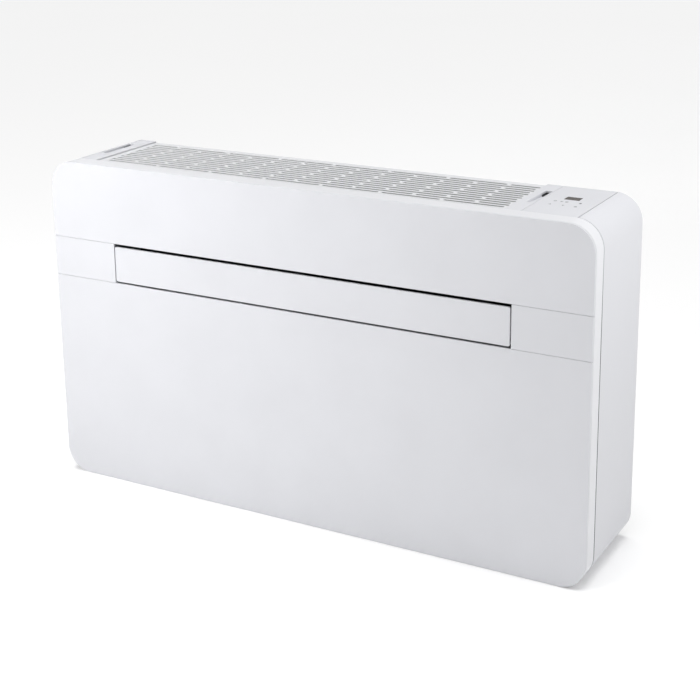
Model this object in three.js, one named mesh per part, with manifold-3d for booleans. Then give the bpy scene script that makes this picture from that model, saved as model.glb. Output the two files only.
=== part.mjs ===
// Wall-hung heat recovery unit. Millimetres, +X to the right seen from the room, +Y towards the
// wall, +Z up. The origin is the centre of the bottom of the casing.
import * as THREE from "three";
import { mergeVertices } from "three/addons/utils/BufferGeometryUtils.js";
import Module from "manifold-3d";

const wasm = await Module();
wasm.setup();

// Casing
const width = 1000;
const height = 580;
const depth = 212;
const cornerRadius = 45;
const halfWidth = width / 2;
const front = -depth / 2;
const back = depth / 2;
const panelThickness = 4;
const shadowGap = 1.5;
const frameDepth = 35;
const grooveWidth = 2;
const wall = 3;
const gap = 0.4;
const panelBack = front + panelThickness;
const frameFront = panelBack + shadowGap;
const frameBack = front + frameDepth;
const casingFront = frameBack + grooveWidth;
const topOpeningHalf = 460;
const topFront = frameBack + gap;

// Supply outlet and its flap
const outletHalf = 371;
const outletLow = 373;
const outletHigh = 443.5;
const flapLow = 376.5;
const flapHigh = 438.5;
const flapHalf = 369;
const flapThickness = 4;
const flapAxisY = front + 6.5;
const flapAxisZ = 381;
const flapPinRadius = 2;
const ductFloor = 370;
const ductCeiling = 444.5;
const ductSkin = 2.4;
const cheek = 2.5;
const outletFrameBack = -48;

// Vertical vanes and their link
const vaneCount = 9;
const vanePitch = 82;
const vaneAxisY = -60;
const vaneLow = 375;
const vaneHigh = 442;
const vaneCrank = 18;
const vanePinRadius = 1.5;
const linkLow = 371;
const linkHigh = 373;

// Cross-flow supply rotor
const rotorY = 12;
const rotorZ = 420;
const rotorRadius = 44;
const rotorHalf = 362;
const bladeCount = 14;

// Top grille
const grilleLeft = -427.2;
const grilleRight = 341;
const grilleTop = 577.5;
const grilleThickness = 4;
const seatTop = 567;
const slotRows = 13;
const slotPitch = 12.5;
const slotWidth = 7;
const firstSlotY = -64.4;
const slotFieldLeft = -417;
const slotFieldRight = 337;
const cellsPerRow = 7;
const bridgeWidth = 6;
const stripRight = 368.6;
const grilleBack = 105.5;

// Back and chambers
const rearFront = 100;
const rearBack = 102;
const innerFront = -84;
const innerBack = rearFront - gap;
const partitionZ = 171;
const midDeckZ = 336;
const intakeDeckZ = 474;
const sheet = 1.5;
const shaftWallX = -422;
const collarX = 330;
const collarZ = 87;
const collarRadius = 79;
const fanY = 8;
const fanZ = 86;
const bulkheadX = 131;

// ---- shapes ---------------------------------------------------------------------------------

function span([x0, x1], [y0, y1], [z0, z1]) {
  const box = new THREE.BoxGeometry(x1 - x0, y1 - y0, z1 - z0);
  box.translate((x0 + x1) / 2, (y0 + y1) / 2, (z0 + z1) / 2);
  return box;
}

// An outline in X and Z, made solid from y0 to y1.
function alongY(outline, y0, y1, curveSegments = 7) {
  const body = new THREE.ExtrudeGeometry(outline, { depth: y1 - y0, bevelEnabled: false, curveSegments });
  body.rotateX(Math.PI / 2);
  body.translate(0, y1, 0);
  return body;
}

// An outline in Y and Z, made solid from x0 to x1.
function alongX(outline, x0, x1, curveSegments = 10) {
  const body = new THREE.ExtrudeGeometry(outline, { depth: x1 - x0, bevelEnabled: false, curveSegments });
  const turn = new THREE.Matrix4().makeBasis(
    new THREE.Vector3(0, 1, 0),
    new THREE.Vector3(0, 0, 1),
    new THREE.Vector3(1, 0, 0),
  );
  body.applyMatrix4(turn);
  body.translate(x0, 0, 0);
  return body;
}

function rodX(radius, x0, x1, y, z, segments = 24) {
  const rod = new THREE.CylinderGeometry(radius, radius, x1 - x0, segments);
  rod.rotateZ(Math.PI / 2);
  rod.translate((x0 + x1) / 2, y, z);
  return rod;
}

function rodY(radius, x, y0, y1, z, segments = 24) {
  const rod = new THREE.CylinderGeometry(radius, radius, y1 - y0, segments);
  rod.translate(x, (y0 + y1) / 2, z);
  return rod;
}

function rodZ(radius, x, y, z0, z1, segments = 12) {
  const rod = new THREE.CylinderGeometry(radius, radius, z1 - z0, segments);
  rod.rotateX(Math.PI / 2);
  rod.translate(x, y, (z0 + z1) / 2);
  return rod;
}

function polygon(points) {
  return new THREE.Shape(points.map(([u, v]) => new THREE.Vector2(u, v)));
}

// A rectangle in X and Z with its own radius at each corner.
function roundedRect(x0, x1, z0, z1, { topLeft = 0, topRight = 0, lowRight = 0, lowLeft = 0 }) {
  const outline = new THREE.Shape();
  outline.moveTo(x0 + lowLeft, z0);
  outline.lineTo(x1 - lowRight, z0);
  if (lowRight) outline.absarc(x1 - lowRight, z0 + lowRight, lowRight, -Math.PI / 2, 0);
  outline.lineTo(x1, z1 - topRight);
  if (topRight) outline.absarc(x1 - topRight, z1 - topRight, topRight, 0, Math.PI / 2);
  outline.lineTo(x0 + topLeft, z1);
  if (topLeft) outline.absarc(x0 + topLeft, z1 - topLeft, topLeft, Math.PI / 2, Math.PI);
  outline.lineTo(x0, z0 + lowLeft);
  if (lowLeft) outline.absarc(x0 + lowLeft, z0 + lowLeft, lowLeft, Math.PI, Math.PI * 1.5);
  return outline;
}

function casingOutline(inset) {
  const radius = cornerRadius - inset;
  const corners = { topLeft: radius, topRight: radius, lowRight: radius, lowLeft: radius };
  return roundedRect(-halfWidth + inset, halfWidth - inset, inset, height - inset, corners);
}

// ---- joining and cutting --------------------------------------------------------------------

function solid(geometry) {
  const source = geometry.clone();
  source.deleteAttribute("normal");
  source.deleteAttribute("uv");
  const merged = mergeVertices(source, 1e-4);
  return new wasm.Manifold(new wasm.Mesh({
    numProp: 3,
    vertProperties: new Float32Array(merged.attributes.position.array),
    triVerts: new Uint32Array(merged.index.array),
  }));
}

function geometryOf(manifold) {
  const { vertProperties, triVerts } = manifold.getMesh();
  const geometry = new THREE.BufferGeometry();
  geometry.setAttribute("position", new THREE.BufferAttribute(vertProperties, 3));
  geometry.setIndex(new THREE.BufferAttribute(triVerts, 1));
  return geometry;
}

function join(...geometries) {
  return geometryOf(geometries.map(solid).reduce((whole, next) => whole.add(next)));
}

function cut(geometry, ...tools) {
  const removed = tools.map(solid).reduce((whole, next) => whole.add(next));
  return geometryOf(solid(geometry).subtract(removed));
}

// ---- finishes and nodes ---------------------------------------------------------------------

const unit = new THREE.Group();

function finish(color, roughness, metalness = 0) {
  return () => new THREE.MeshStandardMaterial({ color, roughness, metalness });
}

const whitePanel = finish("#f1f2f3", 0.42);
const whiteShell = finish("#eceeef", 0.48);
const greyPlastic = finish("#8d9194", 0.6);
const darkPlastic = finish("#3a3d40", 0.55);
const displayDark = finish("#4a4642", 0.15);
const galvanised = finish("#aeb3b6", 0.4, 0.85);
const foam = finish("#4b4f53", 0.95);
const corePlastic = finish("#d7dde0", 0.5);
const mediaWhite = finish("#e4e6e3", 0.95);
const boardGreen = finish("#2f6b4a", 0.5);

function add(name, geometry, makeMaterial, position = [0, 0, 0]) {
  const node = new THREE.Mesh(geometry, makeMaterial());
  node.name = name;
  node.position.set(...position);
  unit.add(node);
}

// ---- casing ---------------------------------------------------------------------------------

function frontFrame() {
  const flangeWidth = 14;
  const flangeThickness = 2;
  const outer = alongY(casingOutline(0), frameFront, frameBack);
  const bore = alongY(casingOutline(wall), frameFront + flangeThickness, frameBack + 1);
  const window = alongY(casingOutline(flangeWidth), frameFront - 1, frameBack + 1);
  return cut(outer, bore, window);
}

function upperFrontPanel() {
  const low = outletHigh + gap;
  const corners = { topLeft: cornerRadius, topRight: cornerRadius };
  return alongY(roundedRect(-halfWidth, halfWidth, low, height, corners), front, panelBack);
}

function lowerFrontPanel() {
  const corners = { lowLeft: cornerRadius, lowRight: cornerRadius };
  return alongY(roundedRect(-halfWidth, halfWidth, 0, outletLow, corners), front, panelBack);
}

const motorPocket = { x: [-402, -374], z: [outletLow, 400] };

function bandCover(side) {
  const near = side * outletHalf;
  const far = side * halfWidth;
  const spanX = [Math.min(near, far), Math.max(near, far)];
  const cover = span(spanX, [front, panelBack], [outletLow + gap, outletHigh]);
  if (side > 0) return cover;
  return cut(cover, span(motorPocket.x, [front + 2, panelBack + 1], motorPocket.z));
}

function sideCasing(side) {
  const ring = cut(
    alongY(casingOutline(0), casingFront, back),
    alongY(casingOutline(wall), casingFront - 1, back + 1),
  );
  const keepFrom = side * topOpeningHalf;
  const far = side * (halfWidth + 5);
  const other = -side * (halfWidth + 5);
  const away = span(
    [Math.min(keepFrom, other), Math.max(keepFrom, other)],
    [casingFront - 2, back + 2],
    [-5, height + 5],
  );
  return far > other === side > 0 ? cut(ring, away) : ring;
}

function basePlate() {
  const half = topOpeningHalf - gap;
  const lipHeight = 16;
  const lipHalf = 230;
  const lipY = [rearBack + gap, rearBack + gap + 2];
  const tray = join(
    span([-half, half], [casingFront, back], [0, wall]),
    span([-lipHalf, lipHalf], lipY, [wall - 0.5, lipHeight]),
  );
  return cut(tray, rodY(drainRadius + 0.5, 0, lipY[0] - 1, lipY[1] + 1, drainZ, 20));
}

// The rear plate fills the casing's outline, except under the grille, where it stops lower.
function rearPlate() {
  const through = [rearFront - 1, rearBack + 1];
  const plate = alongY(casingOutline(wall + gap), rearFront, rearBack);
  const topNotch = span([-topOpeningHalf, topOpeningHalf], through, [seatTop - 4, height]);
  const collars = [-collarX, collarX].map((x) => rodY(collarRadius + 0.5, x, ...through, collarZ, 32));
  const windows = hookPlaces.map((x) => span([x - 8, x + 8], through, [hookZ - 12, hookZ + 0.3]));
  const drain = rodY(drainRadius + 0.5, 0, ...through, drainZ, 20);
  const gland = rodY(glandRadius + 0.4, glandX, ...through, glandZ, 20);
  return cut(plate, topNotch, ...collars, ...windows, drain, gland);
}

// The bracket is screwed to the wall, and the rear plate hangs on its four upturned hooks.
const hookPlaces = [-300, -110, 110, 300];
const hookZ = 506;
const hookThickness = 2;

function wallBracket() {
  const bracketHalf = 350;
  const low = 484;
  const high = 538;
  const plateFront = rearBack + 1;
  const plate = span([-bracketHalf, bracketHalf], [plateFront, back], [low, high]);
  const slots = [-330, -220, -20, 20, 220, 330].map((x) => (
    span([x - 10, x + 10], [plateFront - 1, back + 1], [high - 16, high - 8])
  ));
  const hooks = hookPlaces.flatMap((x) => [
    span([x - 6, x + 6], [96, plateFront + 1], [hookZ - hookThickness, hookZ]),
    span([x - 6, x + 6], [96, 98], [hookZ - hookThickness, hookZ + 10]),
  ]);
  return join(cut(plate, ...slots), ...hooks);
}

// ---- top ------------------------------------------------------------------------------------

function topGrille() {
  const cell = (slotFieldRight - slotFieldLeft) / cellsPerRow;
  const low = grilleTop - grilleThickness;
  const slots = [];
  for (let row = 0; row < slotRows; row += 1) {
    const y = firstSlotY + row * slotPitch;
    const shift = row % 2 ? 0 : cell / 2;
    for (let index = -1; index < cellsPerRow; index += 1) {
      const left = slotFieldLeft + index * cell + shift;
      const x0 = Math.max(slotFieldLeft, left + bridgeWidth / 2);
      const x1 = Math.min(slotFieldRight, left + cell - bridgeWidth / 2);
      if (x1 - x0 > bridgeWidth) {
        slots.push(span([x0, x1], [y - slotWidth / 2, y + slotWidth / 2], [low - 1, grilleTop + 1]));
      }
    }
  }
  const plate = span([grilleLeft, grilleRight], [topFront, grilleBack], [low, grilleTop]);
  const legs = [grilleLeft, grilleRight - 2].map((x) => (
    span([x, x + 2], [topFront, grilleBack], [seatTop + gap, low + 0.5])
  ));
  const rearSkirt = span(
    [grilleLeft + 1, grilleRight - 1],
    [grilleBack - 2, grilleBack],
    [seatTop + gap, low + 0.5],
  );
  return join(cut(plate, ...slots), ...legs, rearSkirt);
}

// A strip at the grille's end, with a finger recess whose floor falls towards a deep pocket.
function grilleEnd(x0, x1, recessX0) {
  const recessWidth = 11;
  const recess = alongX(
    polygon([
      [-17, height + 0.5],
      [-17, height - 3],
      [45, height - 6],
      [45, seatTop - 1],
      [64, seatTop - 1],
      [64, height + 0.5],
    ]),
    recessX0,
    recessX0 + recessWidth,
  );
  return cut(span([x0, x1], [topFront, grilleBack], [seatTop + gap, height]), recess);
}

function grilleSeat() {
  const half = topOpeningHalf - gap;
  const plate = span([-half, half], [casingFront, innerBack], [seatTop - 3, seatTop]);
  return cut(
    plate,
    span([grilleLeft + 4, grilleRight - 4], [-60, 92], [seatTop - 5, seatTop + 2]),
    span([390, 440], [-20, 60], [seatTop - 5, seatTop + 2]),
  );
}

const filterX = [grilleLeft + 6, grilleRight - 6];
const filterY = [-58, 90];
const filterZ = [552, 572.8];

function extractFilterFrame() {
  const rail = 8;
  const frame = span(filterX, filterY, filterZ);
  const inner = span(
    [filterX[0] + rail, filterX[1] - rail],
    [filterY[0] + rail, filterY[1] - rail],
    [filterZ[0] - 1, filterZ[1] + 1],
  );
  const ribs = [-280, -134, 12, 158].map((x) => (
    span([x, x + 3], [filterY[0] + 1, filterY[1] - 1], [filterZ[0], filterZ[0] + 3])
  ));
  return join(cut(frame, inner), ...ribs);
}

function pleatedSheet(start, end, low, high, pleats, thickness) {
  const step = (end - start) / (pleats * 2);
  const under = [];
  for (let fold = 0; fold <= pleats * 2; fold += 1) {
    under.push([start + fold * step, fold % 2 ? high - thickness : low]);
  }
  const over = under.map(([along, level]) => [along, level + thickness]).reverse();
  return polygon([...under, ...over]);
}

function extractFilterMedia() {
  const outline = pleatedSheet(filterY[0] + 8.4, filterY[1] - 8.4, filterZ[0] + 3.4, 571, 12, 1.6);
  return alongX(outline, filterX[0] + 8.4, filterX[1] - 8.4);
}

const controlPanelX = [stripRight + 0.6, topOpeningHalf - 1.6];
const displayX = [400, 425];
const displayY = [23, 42];

function controlPanel() {
  const skin = 2.5;
  const cover = span(controlPanelX, [topFront, grilleBack], [seatTop + gap, height]);
  const hollow = span(
    [controlPanelX[0] + skin, controlPanelX[1] - skin],
    [topFront + skin, grilleBack - skin],
    [seatTop - 1, height - skin],
  );
  const window = span(displayX, displayY, [height - skin - 1, height + 1]);
  return cut(cover, hollow, window);
}

function displayWindow() {
  return join(
    span([displayX[0] + 0.3, displayX[1] - 0.3], [displayY[0] + 0.3, displayY[1] - 0.3], [577.4, 579.8]),
    span([displayX[0] - 1.5, displayX[1] + 1.5], [displayY[0] - 1.5, displayY[1] + 1.5], [575.6, 577.2]),
    span([displayX[0] + 1, displayX[1] - 1], [displayY[0] + 1, displayY[1] - 1], [577, 577.6]),
  );
}

function controlBoard() {
  return join(
    span([378, 454], [-50, 80], [569, 570.6]),
    span([398, 427], [20, 45], [570.4, 575]),
    span([384, 396], [60, 72], [570.4, 573.5]),
  );
}

// ---- supply outlet --------------------------------------------------------------------------

function outletFlap() {
  const corner = 3;
  const corners = { topLeft: corner, topRight: corner, lowRight: corner, lowLeft: corner };
  const plate = alongY(
    roundedRect(-flapHalf, flapHalf, flapLow, flapHigh, corners),
    front,
    front + flapThickness,
    4,
  );
  const ears = [-1, 1].flatMap((side) => {
    const earX = [Math.min(side * 362, side * 366), Math.max(side * 362, side * 366)];
    const pinEnd = side < 0 ? -382 : 373.5;
    const pinX = [Math.min(side * 365, pinEnd), Math.max(side * 365, pinEnd)];
    return [
      span(earX, [front + flapThickness - 0.5, flapAxisY + 3.6], [flapAxisZ - 3.6, flapAxisZ + 3.6]),
      rodX(flapPinRadius, ...pinX, flapAxisY, flapAxisZ, 16),
    ];
  });
  const stiffener = span([-355, 355], [front + flapThickness - 0.5, front + 8], [430, 432.4]);
  return join(plate, ...ears, stiffener);
}

function flapMotor() {
  const caseX = [-400, -376.5];
  const gearCase = span(caseX, [front + 2.6, -76], [outletLow + 1.5, 398]);
  const drum = rodX(11, -418, -399, -88, 386, 20);
  return cut(join(gearCase, drum), rodX(flapPinRadius + 0.3, -384, -376, flapAxisY, flapAxisZ, 16));
}

function vanePlaces() {
  const places = [];
  for (let index = 0; index < vaneCount; index += 1) {
    places.push((index - (vaneCount - 1) / 2) * vanePitch);
  }
  return places;
}

function outletFrame() {
  const half = outletHalf + 0.5;
  const flange = 12;
  const rimFront = panelBack + 0.5;
  const outerX = [-half - cheek, half + cheek];
  const tube = cut(
    span(outerX, [rimFront, outletFrameBack], [ductFloor - ductSkin, ductCeiling + ductSkin]),
    span([-half, half], [rimFront - 1, outletFrameBack + 1], [ductFloor, ductCeiling]),
  );
  const rims = [
    [ductFloor - ductSkin - flange, ductFloor - ductSkin + 0.5],
    [ductCeiling + ductSkin - 0.5, ductCeiling + ductSkin + flange],
  ].map((spanZ) => span(outerX, [rimFront, rimFront + 2], spanZ));
  const guides = [-205, 205].flatMap((x) => [
    span([x - 8, x + 8], [-90, -87.4], [ductFloor - 0.5, 376]),
    span([x - 8, x + 8], [-71, -69], [ductFloor - 0.5, 376]),
  ]);
  const vaneHoles = vanePlaces().flatMap((x) => [
    rodZ(vanePinRadius + 0.3, x, vaneAxisY, ductFloor - ductSkin - 1, ductFloor + 1, 8),
    rodZ(vanePinRadius + 0.3, x, vaneAxisY, ductCeiling - 1, ductCeiling + ductSkin + 1, 8),
  ]);
  const pinHole = rodX(flapPinRadius + 0.3, -half - 6, half + 6, flapAxisY, flapAxisZ, 16);
  return cut(join(tube, ...rims, ...guides), ...vaneHoles, pinHole);
}

// The lower duct wall runs back under the rotor and curls up behind it.
function rearGuide() {
  const inner = rotorZ - ductFloor;
  const outer = inner + ductSkin;
  const lipAngle = Math.PI / 18;
  const outline = new THREE.Shape();
  outline.moveTo(outletFrameBack + gap, ductFloor - ductSkin);
  outline.lineTo(rotorY, ductFloor - ductSkin);
  outline.absarc(rotorY, rotorZ, outer, -Math.PI / 2, lipAngle, false);
  outline.absarc(rotorY, rotorZ, inner, lipAngle, -Math.PI / 2, true);
  outline.lineTo(outletFrameBack + gap, ductFloor);
  return alongX(outline, -outletHalf, outletHalf, 14);
}

// The upper duct wall ends in a curled tongue that keeps close to the rotor.
function vortexTongue() {
  const inner = rotorRadius + 5;
  const outer = inner + ductSkin;
  const tip = (116 * Math.PI) / 180;
  const innerRoot = (148 * Math.PI) / 180;
  const outerRoot = (142 * Math.PI) / 180;
  const outline = new THREE.Shape();
  outline.moveTo(outletFrameBack + gap, ductCeiling);
  outline.absarc(rotorY, rotorZ, inner, innerRoot, tip, true);
  outline.absarc(rotorY, rotorZ, outer, tip, outerRoot, false);
  outline.lineTo(-36, ductCeiling + ductSkin);
  outline.lineTo(outletFrameBack + gap, ductCeiling + ductSkin);
  return alongX(outline, -outletHalf, outletHalf, 8);
}

function ductEnd(side) {
  const near = side * (outletHalf + gap);
  const far = near + side * cheek;
  const spanX = [Math.min(near, far), Math.max(near, far)];
  const plate = span(spanX, [outletFrameBack + gap, 70], [362, 470]);
  return cut(plate, rodX(6, spanX[0] - 1, spanX[1] + 1, rotorY, rotorZ, 20));
}

function vane() {
  const bladeThickness = 1.4;
  const bladeFront = -26;
  const bladeBack = 10;
  const halfThickness = bladeThickness / 2;
  return join(
    span([-halfThickness, halfThickness], [bladeFront, bladeBack], [vaneLow, vaneHigh]),
    rodZ(vanePinRadius, 0, 0, ductFloor - 2, ductCeiling + 1.8, 10),
    rodZ(vanePinRadius, 0, -vaneCrank, linkLow + 0.2, vaneLow + 6, 10),
  );
}

function drivenVane() {
  return join(vane(), rodZ(vanePinRadius, 0, 0, ductCeiling, ductCeiling + 8, 10));
}

function vaneLink() {
  const bar = span([-345, 345], [-86, -72], [linkLow, linkHigh]);
  const notchHalf = 2.5;
  const notches = vanePlaces().map((x) => (
    span([x - notchHalf, x + notchHalf], [-81, -71], [linkLow - 1, linkHigh + 1])
  ));
  return cut(bar, ...notches);
}

function vaneMotor() {
  const x = vanePlaces()[0];
  const low = ductCeiling + ductSkin + gap;
  const shell = join(
    rodZ(13, x, vaneAxisY, low, low + 19, 24),
    span([x - 20, x + 20], [vaneAxisY - 4, vaneAxisY + 4], [low, low + 1.6]),
  );
  return cut(shell, rodZ(vanePinRadius + 0.3, x, vaneAxisY, low - 1, low + 9, 10));
}

function supplyRotor() {
  const bladeDepth = 10;
  const bladeThickness = 1.2;
  const blades = [];
  for (let index = 0; index < bladeCount; index += 1) {
    const blade = span(
      [-rotorHalf + 1, rotorHalf - 1],
      [rotorRadius - bladeDepth, rotorRadius],
      [-bladeThickness / 2, bladeThickness / 2],
    );
    blade.translate(0, -rotorRadius, 0);
    blade.rotateX(0.45);
    blade.translate(0, rotorRadius - 1.5, 0);
    blade.rotateX((index * 2 * Math.PI) / bladeCount);
    blades.push(blade);
  }
  const discs = [-rotorHalf + 1, 0, rotorHalf - 1].map((x) => (
    rodX(rotorRadius, x - 1, x + 1, 0, 0, 28)
  ));
  const shaft = [rodX(4, -384, -rotorHalf + 2, 0, 0, 16), rodX(4, rotorHalf - 2, 396, 0, 0, 16)];
  return join(...discs, ...blades, ...shaft);
}

function rotorBearing() {
  const x0 = -385;
  const x1 = -(outletHalf + gap + cheek + gap);
  const bearing = join(rodX(13, x0, x1, rotorY, rotorZ), rodX(18, x1 - 2, x1, rotorY, rotorZ));
  return cut(bearing, rodX(4.3, x0 - 1, x1 + 1, rotorY, rotorZ, 16));
}

function supplyMotor() {
  const near = outletHalf + gap + cheek + gap;
  const body = join(
    rodX(38, near + 4, near + 58, rotorY, rotorZ, 32),
    rodX(14, near, near + 5, rotorY, rotorZ),
    span([near + 20, near + 44], [rotorY - 36, rotorY + 36], [372, rotorZ - 20]),
  );
  return cut(body, rodX(4.3, near - 1, near + 24, rotorY, rotorZ, 16));
}

// ---- air chambers ---------------------------------------------------------------------------

// The intake deck turns down at its left end, where room air falls into the lower chamber.
function intakeDeck() {
  const half = halfWidth - wall - gap;
  const low = midDeckZ + sheet + gap;
  return alongY(polygon([
    [shaftWallX, low],
    [shaftWallX + sheet, low],
    [shaftWallX + sheet, intakeDeckZ],
    [half, intakeDeckZ],
    [half, intakeDeckZ + sheet],
    [shaftWallX, intakeDeckZ + sheet],
  ]), innerFront, innerBack);
}

// The middle deck ends in a downturned lip over the ridge of the exchanger core.
function midDeck() {
  const lipX = 0.8;
  const lipLow = 326;
  return alongY(polygon([
    [shaftWallX, midDeckZ],
    [lipX - sheet, midDeckZ],
    [lipX - sheet, lipLow],
    [lipX, lipLow],
    [lipX, midDeckZ + sheet],
    [shaftWallX, midDeckZ + sheet],
  ]), innerFront, innerBack);
}

function partition(side) {
  const near = side * (coreHalf + 4);
  const far = side * (halfWidth - wall - gap);
  const spanX = [Math.min(near, far), Math.max(near, far)];
  return span(spanX, [innerFront, innerBack], [partitionZ, partitionZ + sheet]);
}

const coreHalf = 100;
const coreLow = 22;
const coreHigh = 322;

function coreOutline(inset) {
  const half = coreHalf - inset;
  const shoulder = coreHalf;
  return polygon([
    [0, coreLow + inset],
    [half, coreLow + shoulder],
    [half, coreHigh - shoulder],
    [0, coreHigh - inset],
    [-half, coreHigh - shoulder],
    [-half, coreLow + shoulder],
  ]);
}

function heatExchangerCore() {
  const plates = [alongY(coreOutline(3), -78, 93)];
  const frameCount = 8;
  for (let index = 0; index < frameCount; index += 1) {
    const y = -80 + index * 24.5;
    plates.push(alongY(coreOutline(0), y, y + 3));
  }
  return join(...plates);
}

// A foam ring on the front face of the core presses against the front liner.
function coreGasket() {
  const ring = alongY(coreOutline(0.5), innerFront, -80.4);
  return cut(ring, alongY(coreOutline(14), innerFront - 1, -79));
}

const drainZ = 12;
const drainRadius = 6;

function condensateTray() {
  const tray = cut(
    span([-60, 60], [-80, 97], [wall + 1, 20]),
    span([-58, 58], [-78, 95], [wall + 3, 21]),
  );
  const spout = rodY(drainRadius, 0, 96, back - 0.5, drainZ, 20);
  return cut(join(tray, spout), rodY(drainRadius - 1.5, 0, 94, back + 1, drainZ, 20));
}

function collar() {
  const profile = [
    [collarRadius - 3, 84],
    [collarRadius, 84],
    [collarRadius, 97],
    [collarRadius + 4, 97],
    [collarRadius + 4, 99.5],
    [collarRadius, 99.5],
    [collarRadius, back],
    [collarRadius - 3, back],
    [collarRadius - 3, 84],
  ].map(([r, y]) => new THREE.Vector2(r, y));
  return new THREE.LatheGeometry(profile, 32);
}

// The fresh air filter is one bonded cassette: a frame with its pleat pack glued in.
function freshAirFilter() {
  const outer = span([-152, -130], [innerFront + 1, innerBack - 0.6], [wall + 1, partitionZ - gap]);
  const frame = cut(outer, span([-153, -129], [innerFront + 9, innerBack - 9], [wall + 9, partitionZ - 8.4]));
  const folds = pleatedSheet(innerFront + 8.4, innerBack - 8.4, 132, 150, 12, 1.6);
  const pleats = new THREE.ExtrudeGeometry(folds, { depth: partitionZ - wall - 16.4, bevelEnabled: false });
  const turn = new THREE.Matrix4().makeBasis(
    new THREE.Vector3(0, 1, 0),
    new THREE.Vector3(-1, 0, 0),
    new THREE.Vector3(0, 0, 1),
  );
  pleats.applyMatrix4(turn);
  pleats.translate(0, 0, wall + 8.4);
  return join(frame, pleats);
}

function fanBulkhead() {
  const plate = span([bulkheadX, bulkheadX + sheet], [innerFront, innerBack], [wall + gap, partitionZ - gap]);
  return cut(plate, rodX(56, bulkheadX - 1, bulkheadX + 3, fanY, fanZ, 32));
}

// A bell-mouthed ring: radius, then distance along the fan's axis.
function inletRing() {
  const profile = [
    [50, 0],
    [54, -3.5],
    [62, -3.5],
    [62, -1.5],
    [55.4, -1.5],
    [52, 3],
    [52, 7],
    [50, 7],
    [50, 0],
  ].map(([r, along]) => new THREE.Vector2(r, along));
  const ring = new THREE.LatheGeometry(profile, 24);
  ring.rotateZ(-Math.PI / 2);
  ring.translate(bulkheadX + 1.2, fanY, fanZ);
  return ring;
}

function exhaustImpeller() {
  const fanBlades = 7;
  const blades = [];
  for (let index = 0; index < fanBlades; index += 1) {
    const blade = span([19, 60], [-1, 1], [-19, 19]);
    blade.rotateX(0.65);
    blade.translate(0, 0, 54);
    blade.rotateX((index * 2 * Math.PI) / fanBlades);
    blades.push(blade);
  }
  const shroud = cut(rodX(75, 17, 19.5, 0, 0, 24), rodX(54, 16, 21, 0, 0, 24));
  const disc = cut(rodX(75, 59, 61.5, 0, 0, 24), rodX(30, 58, 63, 0, 0, 20));
  const hub = cut(rodX(34, 50, 61.5, 0, 0, 20), rodX(30, 52.5, 63, 0, 0, 20));
  return join(shroud, disc, hub, ...blades);
}

function exhaustMotor() {
  const x0 = bulkheadX;
  return join(
    rodX(29, x0 + 54, x0 + 88, fanY, fanZ, 32),
    rodX(46, x0 + 64, x0 + 88, fanY, fanZ, 32),
    span([x0 + 87, x0 + 90], [fanY - 20, fanY + 20], [fanZ - 70, fanZ + 70]),
    span([x0 + 60, x0 + 90], [fanY - 20, fanY + 20], [wall + gap, wall + gap + 2.5]),
    span([x0 + 87, x0 + 90], [fanY - 20, fanY + 20], [wall + gap, fanZ - 60]),
  );
}

function frontLiner() {
  return span([-470, 470], [frameFront + 2.5, innerFront - gap], [16, 352]);
}

// ---- electrics ------------------------------------------------------------------------------

const boxX = [380, 490];
const boxY = [-70, 92];
const boxZ = [478, 556];
const glandX = 436;
const glandZ = 522;
const glandRadius = 10;

function electricalBox() {
  const skin = 2.5;
  const shell = cut(
    span(boxX, boxY, boxZ),
    span([boxX[0] + skin, boxX[1] - skin], [boxY[0] + skin, boxY[1] - skin], [boxZ[0] + skin, boxZ[1] + 1]),
  );
  return cut(shell, rodY(glandRadius + 0.4, glandX, boxY[1] - skin - 1, boxY[1] + 1, glandZ, 20));
}

function powerBoard() {
  const top = 488.6;
  const tallParts = [
    [392, -58, 20, 26, 24],
    [420, -50, 16, 16, 30],
    [444, -52, 26, 18, 12],
    [396, -10, 30, 22, 16],
  ];
  const chips = tallParts.map(([x, y, w, d, h]) => span([x, x + w], [y, y + d], [top - 0.3, top + h]));
  return join(span([386, 484], [-62, 40], [487, top]), ...chips);
}

function terminalBlock() {
  const block = span([392, 478], [50, 70], [481, 499]);
  const wells = [0, 1, 2, 3, 4, 5].map((index) => rodZ(3, 400 + index * 14, 60, 494, 500, 10));
  return cut(block, ...wells);
}

function cableGland() {
  const body = join(
    rodY(glandRadius, glandX, 82, back - 0.5, glandZ, 20),
    rodY(14, glandX, rearBack + 0.3, back - 0.5, glandZ, 6),
    rodY(14, glandX, 82, 87, glandZ, 6),
  );
  return cut(body, rodY(6, glandX, 80, back + 1, glandZ, 16));
}

// ---- assembly -------------------------------------------------------------------------------

add("front_frame", frontFrame(), whiteShell);
add("upper_front_panel", upperFrontPanel(), whitePanel);
add("lower_front_panel", lowerFrontPanel(), whitePanel);
add("left_band_cover", bandCover(-1), whitePanel);
add("right_band_cover", bandCover(1), whitePanel);
add("left_side_casing", sideCasing(-1), whiteShell);
add("right_side_casing", sideCasing(1), whiteShell);
add("base_plate", basePlate(), whiteShell);
add("rear_plate", rearPlate(), galvanised);
add("wall_bracket", wallBracket(), galvanised);

add("grille_seat", grilleSeat(), greyPlastic);
add("top_grille", topGrille(), whiteShell);
add("grille_end_left", grilleEnd(-topOpeningHalf + gap, grilleLeft - gap, -456.6), whiteShell);
add("grille_end_right", grilleEnd(grilleRight + gap, stripRight, 355.4), whiteShell);
add("extract_filter_frame", extractFilterFrame(), darkPlastic);
add("extract_filter_media", extractFilterMedia(), mediaWhite);
add("control_panel", controlPanel(), whiteShell);
add("display_window", displayWindow(), displayDark);
add("control_board", controlBoard(), boardGreen);

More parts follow.
